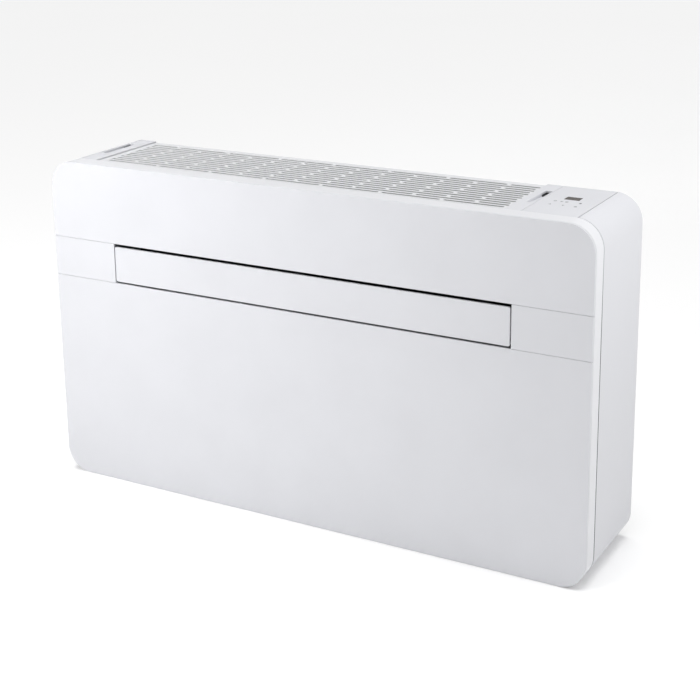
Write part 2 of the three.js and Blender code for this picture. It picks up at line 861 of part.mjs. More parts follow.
add("outlet_frame", outletFrame(), greyPlastic);
add("outlet_flap", outletFlap(), whitePanel);
add("flap_motor", flapMotor(), darkPlastic);
add("rear_guide", rearGuide(), greyPlastic);
add("vortex_tongue", vortexTongue(), greyPlastic);
add("duct_end_left", ductEnd(-1), greyPlastic);
add("duct_end_right", ductEnd(1), greyPlastic);
vanePlaces().forEach((x, index) => {
  add(`vane_${index + 1}`, index ? vane() : drivenVane(), darkPlastic, [x, vaneAxisY, 0]);
});
add("vane_link", vaneLink(), darkPlastic);
add("vane_motor", vaneMotor(), darkPlastic);
add("supply_rotor", supplyRotor(), darkPlastic, [0, rotorY, rotorZ]);
add("rotor_bearing", rotorBearing(), darkPlastic);
add("supply_motor", supplyMotor(), galvanised);

add("intake_deck", intakeDeck(), galvanised);
add("mid_deck", midDeck(), galvanised);
add("left_partition", partition(-1), galvanised);
add("right_partition", partition(1), galvanised);
add("heat_exchanger_core", heatExchangerCore(), corePlastic);
add("core_gasket", coreGasket(), foam);
add("condensate_tray", condensateTray(), greyPlastic);
add("fresh_air_collar", collar(), greyPlastic, [-collarX, 0, collarZ]);
add("exhaust_collar", collar(), greyPlastic, [collarX, 0, collarZ]);
add("fresh_air_filter", freshAirFilter(), mediaWhite);
add("fan_bulkhead", fanBulkhead(), galvanised);
add("inlet_ring", inletRing(), darkPlastic);
add("exhaust_impeller", exhaustImpeller(), darkPlastic, [bulkheadX - 8, fanY, fanZ]);
add("exhaust_motor", exhaustMotor(), galvanised);
add("front_liner", frontLiner(), foam);

add("electrical_box", electricalBox(), greyPlastic);
add("power_board", powerBoard(), boardGreen);
add("terminal_block", terminalBlock(), whiteShell);
add("cable_gland", cableGland(), darkPlastic);

export default unit;
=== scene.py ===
import math

import bmesh
import bpy
from mathutils import Matrix, Vector


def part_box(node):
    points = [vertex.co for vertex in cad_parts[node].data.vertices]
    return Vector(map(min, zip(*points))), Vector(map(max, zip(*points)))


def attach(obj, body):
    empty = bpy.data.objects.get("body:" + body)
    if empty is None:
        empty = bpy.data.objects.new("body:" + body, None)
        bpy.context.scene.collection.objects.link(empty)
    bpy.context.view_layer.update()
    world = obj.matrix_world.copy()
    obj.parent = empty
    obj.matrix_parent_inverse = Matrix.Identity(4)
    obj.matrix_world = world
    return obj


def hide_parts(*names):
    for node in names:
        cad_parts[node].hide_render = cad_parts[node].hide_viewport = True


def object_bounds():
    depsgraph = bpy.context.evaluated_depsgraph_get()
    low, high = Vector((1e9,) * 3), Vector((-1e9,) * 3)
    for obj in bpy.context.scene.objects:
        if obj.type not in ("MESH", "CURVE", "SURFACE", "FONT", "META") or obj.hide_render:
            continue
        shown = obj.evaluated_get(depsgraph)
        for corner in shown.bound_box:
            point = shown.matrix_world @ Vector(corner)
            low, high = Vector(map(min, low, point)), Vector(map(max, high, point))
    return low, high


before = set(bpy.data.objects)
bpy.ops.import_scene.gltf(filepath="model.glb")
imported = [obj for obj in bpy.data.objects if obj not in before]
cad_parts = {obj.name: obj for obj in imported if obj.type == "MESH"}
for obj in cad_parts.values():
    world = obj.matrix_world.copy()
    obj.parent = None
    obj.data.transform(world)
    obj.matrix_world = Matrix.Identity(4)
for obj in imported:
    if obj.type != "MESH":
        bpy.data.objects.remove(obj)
cad_low, cad_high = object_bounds()


# ---------------------------------------------------------------------------------------------
# Front frame. A ring of white moulded plastic with large round corners, which the front panels
# clip onto. Its outer edges are softened by the mould and show as a bright band round the front.

class Wire:
    """A shader socket that takes part in Python arithmetic."""

    def __init__(self, finish, socket):
        self.finish = finish
        self.socket = socket

    def _math(self, operation, first, second):
        return self.finish.node("ShaderNodeMath", {"operation": operation}, {0: first, 1: second})

    def __add__(self, other):
        return self._math("ADD", self, other)

    __radd__ = __add__

    def __sub__(self, other):
        return self._math("SUBTRACT", self, other)

    def __rsub__(self, other):
        return self._math("SUBTRACT", other, self)

    def __mul__(self, other):
        return self._math("MULTIPLY", self, other)

    __rmul__ = __mul__

    def __gt__(self, other):
        return self._math("GREATER_THAN", self, other)

    def sine(self):
        return self._math("SINE", self, 0.0)


class Finish:
    """One surface finish: a material whose nodes are added one at a time."""

    def __init__(self, name):
        self.material = bpy.data.materials.new(name)
        self.material.use_nodes = True
        self.tree = self.material.node_tree
        self.tree.nodes.clear()

    def node(self, kind, settings=None, sockets=None, output=0):
        """Adds a node of any type: its settings first, then its socket values and links."""
        made = self.tree.nodes.new(kind)
        for key, value in (settings or {}).items():
            setattr(made, key, value)
        for key, value in (sockets or {}).items():
            if isinstance(value, Wire):
                self.tree.links.new(value.socket, made.inputs[key])
            else:
                made.inputs[key].default_value = value
        return Wire(self, made.outputs[output]) if made.outputs else None

    def place(self):
        return self.node("ShaderNodeTexCoord", output=3)

    def stretched(self, scale):
        sockets = {0: self.place(), 1: scale}
        return self.node("ShaderNodeVectorMath", {"operation": "MULTIPLY"}, sockets)

    def along(self, axis):
        return self.node("ShaderNodeSeparateXYZ", {}, {0: self.place()}, "XYZ".index(axis))

    def noise(self, scale, detail=2.0, vector=None):
        sockets = {"Vector": vector or self.place(), "Scale": scale, "Detail": detail}
        return self.node("ShaderNodeTexNoise", {}, sockets)

    def cells(self, scale, vector=None, output=0):
        sockets = {"Vector": vector or self.place(), "Scale": scale}
        return self.node("ShaderNodeTexVoronoi", {}, sockets, output)

    def spread(self, value, low, high):
        """0 at low, 1 at high, clamped outside."""
        sockets = {"Value": value, "From Min": low, "From Max": high}
        return self.node("ShaderNodeMapRange", {}, sockets)

    def blend(self, factor, first, second):
        sockets = {0: factor, 6: first, 7: second}
        return self.node("ShaderNodeMix", {"data_type": "RGBA"}, sockets, output=2)

    def bump(self, height, distance, strength=1.0):
        sockets = {"Height": height, "Distance": distance, "Strength": strength}
        return self.node("ShaderNodeBump", {}, sockets)

    def surface(self, **sockets):
        named = {key.replace("_", " "): value for key, value in sockets.items()}
        shader = self.node("ShaderNodeBsdfPrincipled", {}, named)
        self.node("ShaderNodeOutputMaterial", {}, {"Surface": shader})
        return self.material


def grained(finish, tone, grain_size, grain_depth, roughness):
    """The surface that every moulding shares: a fine grain and slightly uneven gloss."""
    return finish.surface(
        Base_Color=tone,
        Roughness=finish.noise(60.0) * 0.1 + roughness,
        Normal=finish.bump(finish.noise(1.0 / grain_size), grain_depth, 0.5),
        IOR=1.47,
    )


def moulded_plastic(name, base, grain_size, grain_depth, roughness):
    """Injection-moulded plastic: an even colour, slight clouding and a spark-eroded grain."""
    finish = Finish(name)
    duller = tuple(channel * 0.97 for channel in base) + (1.0,)
    cloud = finish.spread(finish.noise(9.0, 3.0), 0.35, 0.7)
    tone = finish.blend(cloud, base + (1.0,), duller)
    return grained(finish, tone, grain_size, grain_depth, roughness - 0.05)


def corner_path(x0, x1, z0, z1, radii, steps=28):
    """Points of a rectangle in X and Z with round corners, each with its outward direction.
    The radii are for the corners low left, low right, top right and top left."""
    low_left, low_right, top_right, top_left = radii
    corners = [
        (x1 - low_right, z0 + low_right, low_right, -90),
        (x1 - top_right, z1 - top_right, top_right, 0),
        (x0 + top_left, z1 - top_left, top_left, 90),
        (x0 + low_left, z0 + low_left, low_left, 180),
    ]
    path = []
    for centre_x, centre_z, radius, start in corners:
        count = steps if radius > 0.01 else 5
        for step in range(count + 1):
            angle = math.radians(start + 90 * step / count)
            out_x, out_z = math.cos(angle), math.sin(angle)
            path.append((centre_x + radius * out_x, centre_z + radius * out_z, out_x, out_z))
    return path


def loft(name, rings, closed=False, caps=False):
    """A skin through rings of points, one after another."""
    mesh = bmesh.new()
    rows = [[mesh.verts.new(point) for point in ring] for ring in rings]
    pairs = list(zip(rows, rows[1:])) + ([(rows[-1], rows[0])] if closed else [])
    for first, second in pairs:
        for index in range(len(first)):
            after = (index + 1) % len(first)
            mesh.faces.new((first[index], first[after], second[after], second[index]))
    if caps:
        mesh.faces.new(rows[0])
        mesh.faces.new(rows[-1])
    bmesh.ops.recalc_face_normals(mesh, faces=mesh.faces)
    return object_from(name, mesh)


def object_from(name, mesh):
    data = bpy.data.meshes.new(name)
    mesh.to_mesh(data)
    mesh.free()
    piece = bpy.data.objects.new(name, data)
    bpy.context.scene.collection.objects.link(piece)
    return piece


def fillet(corner, radius, start, steps=4):
    """Points of a small round edge in a section, a quarter turn about the corner's centre."""
    angles = [math.radians(start + 90 * step / steps) for step in range(steps + 1)]
    return [(corner[0] + radius * math.cos(a), corner[1] + radius * math.sin(a)) for a in angles]


def sweep(name, path, section, closed=True):
    """Sweeps a section of inset and depth along a path of points in X and Z."""
    rings = []
    for x, z, out_x, out_z in path:
        rings.append([(x - inset * out_x, y, z - inset * out_z) for inset, y in section])
    return loft(name, rings, closed=closed, caps=not closed)


def soften(piece, angle=32):
    """Smooth shading that keeps flat faces flat and true edges crisp."""
    for face in piece.data.polygons:
        face.use_smooth = True
    piece.data.set_sharp_from_angle(angle=math.radians(angle))
    even = piece.modifiers.new("even_shading", "WEIGHTED_NORMAL")
    even.keep_sharp = True
    return piece


def fit(piece, body, slot, material, *nodes):
    """Finishes a piece: its shading and material, its body, and the CAD nodes it stands for."""
    soften(piece)
    piece.data.materials.clear()
    piece.data.materials.append(material)
    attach(piece, body)
    if nodes:
        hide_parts(*nodes)
    return piece


white_frame = moulded_plastic("white_frame_satin", (0.77, 0.775, 0.80), 0.0009, 0.00002, 0.40)

frame_low, frame_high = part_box("front_frame")
casing_radius = 0.045
casing_path = corner_path(
    frame_low.x, frame_high.x, frame_low.z, frame_high.z, [casing_radius] * 4
)
shell_wall = 0.003
shell_edge = 0.0007
seat_width = 0.014
seat_back = frame_low.y + 0.002
front_frame = sweep("front_frame_ring", casing_path, (
    fillet((shell_edge, frame_low.y + shell_edge), shell_edge, 180)
    + [(seat_width, frame_low.y), (seat_width, seat_back)]
    + [(shell_wall, seat_back), (shell_wall, frame_high.y)]
    + fillet((shell_edge, frame_high.y - shell_edge), shell_edge, 90)
))
fit(front_frame, "casing", "white_shell", white_frame, "front_frame")


# ---------------------------------------------------------------------------------------------
# Front panels. Satin white plates, 4 mm thick, clipped to the front frame. The upper and lower
# panels and the two short band covers meet in fine V-shaped seams level with the outlet.

def plate(name, box, radii, rim):
    """A plate in X and Z, with a small round edge at its front and a square one behind."""
    low, high = box
    path = corner_path(low.x, high.x, low.z, high.z, [max(r, rim * 1.2) for r in radii])
    rings = []
    for inset, y in [(0.0, high.y)] + fillet((rim, low.y + rim), rim, 180):
        rings.append([(x - inset * out_x, y, z - inset * out_z) for x, z, out_x, out_z in path])
    return loft(name, rings, caps=True)


white_panel = moulded_plastic("white_panel_satin", (0.70, 0.705, 0.735), 0.0012, 0.00002, 0.36)

panel_rim = 0.0006
panel_corners = {
    "upper_front_panel": (0, 0, casing_radius, casing_radius),
    "lower_front_panel": (casing_radius, casing_radius, 0, 0),
    "left_band_cover": (0, 0, 0, 0),
    "right_band_cover": (0, 0, 0, 0),
}
for node, radii in panel_corners.items():
    panel = plate(node + "_plate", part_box(node), radii, panel_rim)
    fit(panel, "casing", "white_panel", white_panel, node)


# ---------------------------------------------------------------------------------------------
# Side casings. Two white shells that wrap the unit's sides, from the top opening round both
# corners to the base. A thin tongue at the front edge closes the shadow groove to the frame.

def side_path(side, inner):
    """The casing's outline on one side, from the top opening down to the base plate."""
    arcs = [point for point in casing_path if point[0] * side > inner + 1e-5]
    middle = frame_high.z / 2
    arcs.sort(key=lambda point: -math.atan2(point[1] - middle, point[0] * side))
    top = (side * inner, frame_high.z, 0.0, 1.0)
    bottom = (side * inner, frame_low.z, 0.0, -1.0)
    return [top] + arcs + [bottom]


shell_white = (0.69, 0.695, 0.725)
shell_grain = 0.0007
shell_grain_depth = 0.00003
shell_roughness = 0.48
white_shell = moulded_plastic(
    "white_shell_grained", shell_white, shell_grain, shell_grain_depth, shell_roughness
)


def jointed_plastic(name, base, shaded, joint, fade):
    """The white shell plastic, with painted shade in the groove at its front that thins out
    upwards.
    """
    finish = Finish(name)
    in_groove = 1 - finish.spread(finish.along("Y"), joint + 0.0001, joint + 0.0007)
    painted_groove_shade = in_groove * (1 - finish.spread(finish.along("Z"), fade[0], fade[1]))
    patchy = finish.noise(180.0) * 0.2 + 0.85
    tone = finish.blend(painted_groove_shade * patchy, base + (1.0,), shaded + (1.0,))
    return grained(finish, tone, shell_grain, shell_grain_depth, shell_roughness - 0.05)


casing_low, casing_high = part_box("right_side_casing")
# Painted shade: the groove at the casing's front edge is darkened in the colour, less towards the
# top.
groove_shade_tone = (0.05, 0.05, 0.053)
groove_fade = (0.38, 0.56)
jointed = jointed_plastic(
    "white_side_casing", shell_white, groove_shade_tone, casing_low.y, groove_fade
)
tongue_inset = 0.0016
tongue_front = casing_low.y - 0.0014
casing_section = (
    fillet((shell_edge, casing_low.y + shell_edge), shell_edge, 180)
    + [(tongue_inset, casing_low.y), (tongue_inset, tongue_front)]
    + [(shell_wall, tongue_front), (shell_wall, casing_high.y)]
    + fillet((shell_edge, casing_high.y - shell_edge), shell_edge, 90)
)
for side, node in ((-1, "left_side_casing"), (1, "right_side_casing")):
    shell = sweep(node + "_shell", side_path(side, casing_low.x), casing_section, closed=False)
    fit(shell, "casing", "white_shell", jointed, node)


# ---------------------------------------------------------------------------------------------
# Base plate. The white strip that closes the casing underneath, with a lip turned up behind the
# rear plate and notched for the drain. Its edges are rounded like the rest of the moulding.

def refined(node, edge, segments=2, angle=30):
    """The CAD node's own shape with its faces cleaned up and its edges rounded."""
    mesh = bmesh.new()
    mesh.from_mesh(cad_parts[node].data)
    bmesh.ops.remove_doubles(mesh, verts=mesh.verts, dist=2e-6)
    bmesh.ops.dissolve_limit(
        mesh, angle_limit=math.radians(0.5), verts=mesh.verts, edges=mesh.edges
    )
    turn = math.radians(angle)
    sharp = [line for line in mesh.edges if line.is_manifold and line.calc_face_angle() > turn]
    bmesh.ops.bevel(
        mesh, geom=sharp, offset=edge, segments=segments, profile=0.5, affect="EDGES",
        clamp_overlap=True,
    )
    bmesh.ops.remove_doubles(mesh, verts=mesh.verts, dist=1e-7)
    return object_from(node + "_piece", mesh)


fit(refined("base_plate", 0.0005), "casing", "white_shell", white_shell, "base_plate")


# ---------------------------------------------------------------------------------------------
# Rear plate. Galvanised sheet, 2 mm thick, stamped with four long stiffening beads and held by
# cross-recessed screws round its edge. Zinc spangle shows as soft patches of different grey.

def galvanised_sheet(name, base, spangle_size):
    """Hot-dip zinc: crystals of slightly different grey and gloss, and fine rolling lines."""
    finish = Finish(name)
    spread = finish.node(
        "ShaderNodeSeparateColor", {}, {0: finish.cells(1.0 / spangle_size, output=1)}
    )
    darker = tuple(channel * 0.78 for channel in base) + (1.0,)
    streak = finish.noise(1.0, 3.0, finish.stretched((12.0, 12.0, 700.0)))
    return finish.surface(
        Base_Color=finish.blend(spread * 0.7 + streak * 0.3, base + (1.0,), darker),
        Metallic=0.85,
        Roughness=spread * 0.16 + streak * 0.12 + 0.30,
        Normal=finish.bump(streak, 0.00002, 0.4),
    )


def merged(name, *parts):
    """One piece made of several closed bodies."""
    mesh = bmesh.new()
    for part in parts:
        mesh.from_mesh(part.data)
        bpy.data.objects.remove(part)
    return object_from(name, mesh)


def bead(x0, x1, z, half, rise, base_y):
    """A stamped bead along X: half an ellipse in section, dying out at both ends."""
    rings = []
    for step in range(25):
        t = step / 24
        x = x0 + (x1 - x0) * t
        grow = math.sin(math.pi * min(1.0, 12 * min(t, 1 - t) + 0.03) / 2)
        ring = []
        for turn in range(13):
            angle = math.pi * turn / 12
            ring.append((
                x,
                base_y - 0.0005 + (rise + 0.0005) * grow * math.sin(angle),
                z + half * grow * math.cos(angle),
            ))
        rings.append(ring)
    return loft("bead", rings, caps=True)


galvanised = galvanised_sheet("galvanised_sheet_spangled", (0.56, 0.58, 0.59), 0.006)
rear_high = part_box("rear_plate")[1]
bead_half_length, bead_half_width, bead_rise = 0.40, 0.006, 0.0015
beads = []
for z in (0.225, 0.285, 0.345, 0.405):
    beads.append(bead(
        -bead_half_length, bead_half_length, z, bead_half_width, bead_rise, rear_high.y
    ))
rear_plate = merged("rear_plate_piece", refined("rear_plate", 0.0003), *beads)
fit(rear_plate, "casing", "galvanised_sheet", galvanised, "rear_plate")


def turned(name, centre, axis, profile, closed=False, steps=48):
    """A turned piece: radius and distance along the axis, spun round it."""
    rings = []
    for radius, along in profile:
        ring = []
        for step in range(steps):
            angle = 2 * math.pi * step / steps
            u, v = radius * math.cos(angle), radius * math.sin(angle)
            offset = {"X": (along, u, v), "Y": (v, along, u), "Z": (u, v, along)}[axis]
            ring.append(Vector(centre) + Vector(offset))
        rings.append(ring)
    return loft(name, rings, closed=closed, caps=not closed)


def flat_piece(name, outlines, low, high, rim, facing="Z"):
    """Outlines and holes in millimetres, made solid between two levels, with rounded rims.
    Facing Z, the outlines are in X and Y. Facing Y, they are in X and Z."""
    curve = bpy.data.curves.new(name, "CURVE")
    curve.dimensions = "2D"
    curve.fill_mode = "BOTH"
    curve.extrude = (high - low) * 500 - rim * 1000
    curve.bevel_depth = rim * 1000
    curve.bevel_resolution = 1
    curve.offset = -rim * 1000
    for outline in outlines:
        spline = curve.splines.new("POLY")
        spline.points.add(len(outline) - 1)
        for point, (u, v) in zip(spline.points, outline):
            point.co = (u, v, 0.0, 1.0)
        spline.use_cyclic_u = True
    drawn = bpy.data.objects.new(name, curve)
    bpy.context.scene.collection.objects.link(drawn)
    made = drawn.evaluated_get(bpy.context.evaluated_depsgraph_get())
    data = bpy.data.meshes.new_from_object(made)
    bpy.data.objects.remove(drawn)
    level = Matrix.Translation((0, 0, (low + high) / 2)) @ Matrix.Scale(0.001, 4)
    if facing == "Y":
        lay = Matrix(((1, 0, 0, 0), (0, 0, -1, 0), (0, 1, 0, 0), (0, 0, 0, 1)))
        level = Matrix.Translation((0, (low + high) / 2, 0)) @ lay @ Matrix.Scale(0.001, 4)
    mesh = bmesh.new()
    mesh.from_mesh(data)
    bmesh.ops.transform(mesh, matrix=level, verts=mesh.verts)
    bmesh.ops.remove_doubles(mesh, verts=mesh.verts, dist=1e-6)
    bmesh.ops.recalc_face_normals(mesh, faces=mesh.faces)
    return object_from(name, mesh)


def ring_of(radius, centre=(0.0, 0.0), steps=40, start=0.0, sweep_angle=360.0):
    """Points of a circle or an arc in millimetres."""
    points = []
    count = steps if sweep_angle == 360.0 else steps + 1
    for step in range(count):
        angle = math.radians(start + sweep_angle * step / steps)
        points.append((
            centre[0] + radius * math.cos(angle),
            centre[1] + radius * math.sin(angle),
        ))
    return points


zinc_screw = galvanised_sheet("zinc_plated_screw", (0.72, 0.73, 0.72), 0.0012)
screw_places = [
    (-484, 130), (484, 130), (-484, 330), (484, 330), (-470, 538), (470, 538),
    (-210, 552), (0, 552), (210, 552), (-190, 20), (190, 20), (-440, 18), (440, 18),
]
head_radius, head_back, head_front, head_rim = 3.8, 0.1027, 0.1042, 0.0005
arm, tip = 0.45, 2.1
washer_profile = [
    (0.0001, 0.1021), (0.0044, 0.1021), (0.0048, 0.1023), (0.0046, 0.1027), (0.0001, 0.1028),
]
for number, (x, z) in enumerate(screw_places, 1):
    cross = [
        (x - arm, z - tip), (x + arm, z - tip), (x + arm, z - arm), (x + tip, z - arm),
        (x + tip, z + arm), (x + arm, z + arm), (x + arm, z + tip), (x - arm, z + tip),
        (x - arm, z + arm), (x - tip, z + arm), (x - tip, z - arm), (x - arm, z - arm),
    ]
    outlines = [ring_of(head_radius, (x, z)), cross]
    head = flat_piece("head", outlines, head_back, head_front, head_rim, "Y")
    washer = turned("washer", (x / 1000, 0, z / 1000), "Y", washer_profile, steps=32)
    screw = merged(f"rear_screw_{number}", head, washer)
    fit(screw, "casing", "galvanised_sheet", zinc_screw)


# ---------------------------------------------------------------------------------------------
# Wall bracket. A thicker galvanised strip with slots for wall screws and four upturned hooks,
# which reach through the windows in the rear plate. It is punched, so its edges are rolled.

fit(refined("wall_bracket", 0.0004), "casing", "galvanised_sheet", galvanised, "wall_bracket")


# ---------------------------------------------------------------------------------------------
# Duct collars. Two turned spigots of grey plastic with a rounded lip and a stop flange, where
# the fresh air and exhaust ducts plug in from the wall.

grey_plastic = moulded_plastic("grey_plastic_grained", (0.27, 0.28, 0.29), 0.0006, 0.00004, 0.52)

bore, spigot, flange = 0.0760, 0.0790, 0.0830
flange_front, flange_back = 0.0970, 0.0995
round_edge = 0.0006
lip = 0.0012
for node in ("fresh_air_collar", "exhaust_collar"):
    low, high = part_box(node)
    centre = ((low.x + high.x) / 2, 0.0, (low.z + high.z) / 2)
    collar = turned(node + "_spigot", centre, "Y", [
        (bore, low.y), (spigot - round_edge, low.y), (spigot, low.y + round_edge),
        (spigot, flange_front), (flange - round_edge, flange_front),
        (flange, flange_front + round_edge), (flange, flange_back - round_edge),
        (flange - round_edge, flange_back), (spigot, flange_back), (spigot, high.y - lip),
        (spigot - 0.0004, high.y - 0.0004), (spigot - lip, high.y), (bore + 0.0010, high.y),
        (bore + 0.0002, high.y - 0.0004), (bore, high.y - lip),
    ], closed=True, steps=96)
    fit(collar, "casing", "grey_plastic", grey_plastic, node)


# ---------------------------------------------------------------------------------------------
# Cable gland. A black moulded fitting through the rear plate, with a six-sided nut on each side
# of the wall and a round hole for the supply cable.

dark_plastic = moulded_plastic("dark_plastic_grained", (0.035, 0.038, 0.042), 0.0005, 0.00004, 0.45)

gland_low, gland_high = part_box("cable_gland")
gland = ((gland_low.x + gland_high.x) / 2, 0.0, (gland_low.z + gland_high.z) / 2)
cable_hole, thread, nut_corner = 0.0060, 0.0100, 0.0140
nut_front, plate_back = 0.0870, 0.1023
barrel = turned("barrel", gland, "Y", [
    (cable_hole, gland_low.y), (thread - round_edge, gland_low.y),
    (thread, gland_low.y + round_edge), (thread, gland_high.y - 0.0012),
    (thread - 0.0010, gland_high.y - 0.0002), (cable_hole + 0.0012, gland_high.y),
    (cable_hole + 0.0002, gland_high.y - round_edge), (cable_hole, gland_high.y - 0.002),
], closed=True)
nuts = []
for near, far in ((gland_low.y + 0.0001, nut_front), (plate_back, gland_high.y - 0.0012)):
    nuts.append(turned("nut", gland, "Y", [
        (thread - 0.0002, near), (nut_corner - 0.0008, near), (nut_corner, near + round_edge),
        (nut_corner, far - round_edge), (nut_corner - 0.0008, far), (thread - 0.0002, far),
    ], closed=True, steps=6))
gland_body = merged("cable_gland_body", barrel, *nuts)
fit(gland_body, "casing", "dark_plastic", dark_plastic, "cable_gland")


# ---------------------------------------------------------------------------------------------
# Drain tray and spout. A grey vacuum-formed tray under the exchanger core, whose round spout
# comes out through the back at the bottom.

fit(refined("condensate_tray", 0.0004), "casing", "grey_plastic", grey_plastic, "condensate_tray")


# ---------------------------------------------------------------------------------------------
# Liner, decks and walls. A dense foam sheet lines the front, and folded sheet-metal decks and
# bulkheads divide the casing into its air chambers.

def cellular_foam(name, base, cell_size):
    """Closed-cell foam: small round cells with darker dimples between them."""
    finish = Finish(name)
    cell = finish.cells(1.0 / cell_size)
    darker = tuple(channel * 0.6 for channel in base) + (1.0,)
    return finish.surface(
        Base_Color=finish.blend(finish.spread(cell, 0.1, 0.7), base + (1.0,), darker),
        Roughness=finish.noise(200.0) * 0.1 + 0.85,
        Normal=finish.bump(cell, 0.0004, 0.8),
    )


def reface(material, *nodes):
    """Gives CAD nodes that keep their own shape a procedural finish."""
    for node in nodes:
        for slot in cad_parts[node].material_slots:
            slot.material = material


foam = cellular_foam("closed_cell_foam", (0.07, 0.075, 0.08), 0.0018)
reface(foam, "core_gasket")
fit(refined("front_liner", 0.0015), "casing", "foam", foam, "front_liner")
reface(galvanised, "intake_deck", "mid_deck", "left_partition", "right_partition", "fan_bulkhead")


# ---------------------------------------------------------------------------------------------
# Heat exchanger core. A six-sided stack of thin pale plastic plates, welded at their edges. The
# plate edges are bright lines about 2.5 mm apart across the depth of the stack.

def stacked_plates(name, base, pitch):
    """Translucent pale plastic in thin layers across the depth, seen edge on."""
    finish = Finish(name)
    wave = (finish.along("Y") * (2 * math.pi / pitch)).sine() * 0.5 + 0.5
    darker = tuple(channel * 0.45 for channel in base) + (1.0,)
    return finish.surface(
        Base_Color=finish.blend(wave, darker, base + (1.0,)),
        Roughness=finish.noise(90.0) * 0.1 + 0.38,
        Normal=finish.bump(wave, 0.0005, 0.8),
    )


exchanger_plastic = stacked_plates("exchanger_plates", (0.62, 0.68, 0.70), 0.0025)
reface(exchanger_plastic, "heat_exchanger_core")


# ---------------------------------------------------------------------------------------------
# Fresh air filter. A pleated sheet of bonded white fleece in a stiff frame, across the air path
# behind the fresh air collar.

def fleece(name, base, thread):
    """Non-woven filter fleece: matted threads with soft hollows between them."""
    finish = Finish(name)
    matted = finish.noise(1.0 / thread, 4.0, finish.stretched((1.0, 1.6, 1.0)))
    darker = tuple(channel * 0.7 for channel in base) + (1.0,)
    return finish.surface(
        Base_Color=finish.blend(finish.spread(matted, 0.3, 0.7), darker, base + (1.0,)),
        Roughness=finish.noise(300.0) * 0.08 + 0.90,
        Normal=finish.bump(matted, 0.0003, 0.9),
    )


reface(fleece("fresh_air_fleece", (0.66, 0.67, 0.65), 0.0008), "fresh_air_filter")


# ---------------------------------------------------------------------------------------------
# Exhaust fan. A backward-curved impeller of dark plastic on a round motor, drawing through a
# bell-mouthed ring in the bulkhead.

reface(dark_plastic, "inlet_ring", "exhaust_impeller")
reface(galvanised, "exhaust_motor")


# ---------------------------------------------------------------------------------------------
# Supply rotor. A long cross-flow rotor of dark plastic: 34 thin curved blades between round
# discs, on a steel shaft that runs into the bearing and the motor.

def curved_blade(x0, x1, turn, centre, outer, inner, thickness):
    """One blade: a shallow arc in section, from the inner radius to the outer one."""
    outer_side, inner_side = [], []
    for step in range(7):
        t = step / 6
        radius = inner + (outer - inner) * t
        angle = turn + 0.30 * (1 - t) ** 1.6
        half = thickness * (0.35 + 0.65 * math.sin(math.pi * (0.12 + 0.76 * t))) / 2 / radius
        for side, points in ((1, outer_side), (-1, inner_side)):
            bearing = angle + side * half
            points.append((
                centre[0] + radius * math.cos(bearing),
                centre[1] + radius * math.sin(bearing),
            ))
    section = outer_side + inner_side[::-1]
    return loft("blade", [[(x, y, z) for y, z in section] for x in (x0, x1)], caps=True)


rotor_low, rotor_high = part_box("supply_rotor")
rotor_y = (rotor_low.y + rotor_high.y) / 2
rotor_z = (rotor_low.z + rotor_high.z) / 2
rotor_radius = (rotor_high.z - rotor_low.z) / 2
rotor_half = 0.362
blade_total = 34
blade_depth, blade_thickness = 0.011, 0.0011
disc_half, disc_edge = 0.001, 0.0004
shaft_radius, shaft_edge = 0.004, 0.0006
rotor_parts = []
for index in range(blade_total):
    turn = 2 * math.pi * index / blade_total
    rotor_parts.append(curved_blade(
        -rotor_half + 0.0005, rotor_half - 0.0005, turn, (rotor_y, rotor_z),
        rotor_radius - 0.0003, rotor_radius - blade_depth, blade_thickness,
    ))
for x in (-0.361, -0.241, -0.1205, 0.0, 0.1205, 0.241, 0.361):
    rotor_parts.append(turned("disc", (x, rotor_y, rotor_z), "X", [
        (0.0002, -disc_half), (rotor_radius - disc_edge, -disc_half),
        (rotor_radius, disc_edge - disc_half), (rotor_radius, disc_half - disc_edge),
        (rotor_radius - disc_edge, disc_half), (0.0002, disc_half),
    ], steps=96))
for near, far in ((rotor_low.x, -0.360), (0.360, rotor_high.x)):
    rotor_parts.append(turned("shaft", (0, rotor_y, rotor_z), "X", [
        (shaft_radius - shaft_edge, near), (shaft_radius, near + shaft_edge),
        (shaft_radius, far - shaft_edge), (shaft_radius - shaft_edge, far),
    ], steps=32))
rotor = merged("supply_rotor_wheel", *rotor_parts)
fit(rotor, "supply_rotor_body", "dark_plastic", dark_plastic, "supply_rotor")
reface(dark_plastic, "rotor_bearing")
reface(galvanised, "supply_motor")


# ---------------------------------------------------------------------------------------------
# Outlet duct. A grey moulded frame behind the flap, with curved walls round the rotor and flat
# cheeks at both ends.

for node in ("outlet_frame", "rear_guide", "vortex_tongue", "duct_end_left", "duct_end_right"):
    fit(refined(node, 0.0003), "casing", "grey_plastic", grey_plastic, node)


# ---------------------------------------------------------------------------------------------
# Vanes. Nine upright blades of dark plastic that turn together. Each one swells slightly at its
# pivot line and thins to a rounded edge in front and behind.

def vane_blade(x, pivot_y, low, high):
    """A blade with a leaf-shaped section, softened at its top and bottom."""
    front_reach, back_reach, half = 0.026, 0.010, 0.00068
    rings = []
    for z, shrink in ((low, 0.82), (low + 0.0008, 1.0), (high - 0.0008, 1.0), (high, 0.82)):
        ring = []
        for step in range(24):
            angle = 2 * math.pi * step / 24
            reach = front_reach if math.sin(angle) < 0 else back_reach
            width = math.copysign(half * shrink * abs(math.cos(angle)) ** 0.55, math.cos(angle))
            along = reach * math.sin(angle) * (0.98 + 0.02 * shrink)
            ring.append((x + width, pivot_y + along, z))
        rings.append(ring)
    return loft("blade", rings, caps=True)


